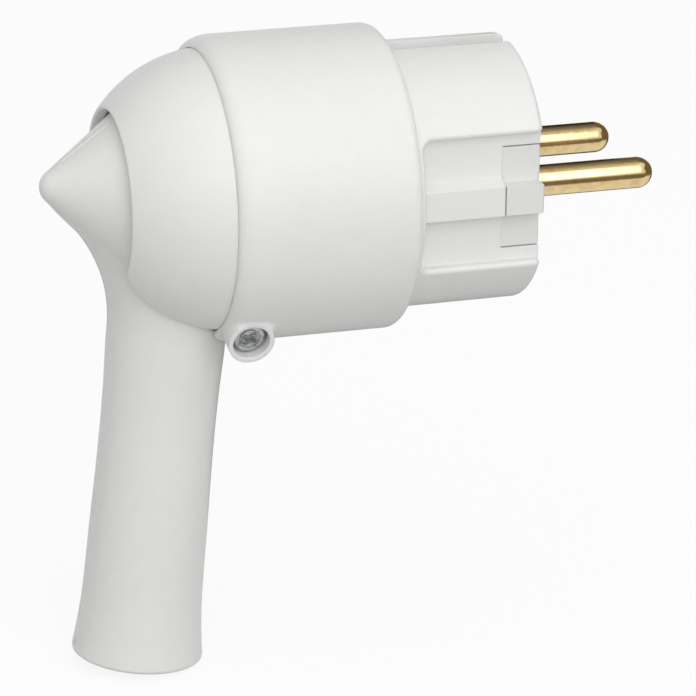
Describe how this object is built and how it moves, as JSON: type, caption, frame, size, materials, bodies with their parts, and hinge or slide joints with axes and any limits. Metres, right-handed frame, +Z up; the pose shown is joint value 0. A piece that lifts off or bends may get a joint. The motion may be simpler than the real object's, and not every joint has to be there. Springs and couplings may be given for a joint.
{
  "type": "angled plug",
  "caption": "Round two-pin mains plug with an earth socket, side recesses and earth grooves, and a rear grip with a ball head that leads the cord down at a right angle.",
  "frame": {"origin": "centre of the pin face, midway between the two pins", "axes": "+X out along the pins, +Z up, the grip and its cord inlet hang down at the rear (-X)"},
  "size_m": [0.0936, 0.0464, 0.0982],
  "materials": {
    "sleeve_plastic": "satin moulded",
    "dome_plastic": "satin moulded",
    "grip_plastic": "satin moulded",
    "block_plastic": "satin moulded",
    "carrier_plastic": "satin moulded",
    "pin_brass": "turned",
    "contact_brass": "pressed",
    "strip_nickel": "nickel plated",
    "spring_steel": "blued",
    "screw_steel": "zinc plated",
    "clamp_plastic": "moulded"
  },
  "bodies": {
    "root": {"sleeve": "sleeve_plastic", "rear_dome": "dome_plastic", "grip": "grip_plastic", "pin_block": "block_plastic", "pin_carrier": "carrier_plastic", "live_pin": "pin_brass", "neutral_pin": "pin_brass", "live_terminal_screw": "screw_steel", "neutral_terminal_screw": "screw_steel", "earth_socket": "contact_brass", "earth_spring_ring": "spring_steel", "earth_strip": "strip_nickel", "earth_wire_washer": "contact_brass", "earth_terminal_screw": "screw_steel", "carrier_screw_left": "screw_steel", "carrier_screw_right": "screw_steel", "cord_clamp": "clamp_plastic", "cord_clamp_screw_left": "screw_steel", "cord_clamp_screw_right": "screw_steel", "dome_screw": "screw_steel"}
  },
  "joints": []
}
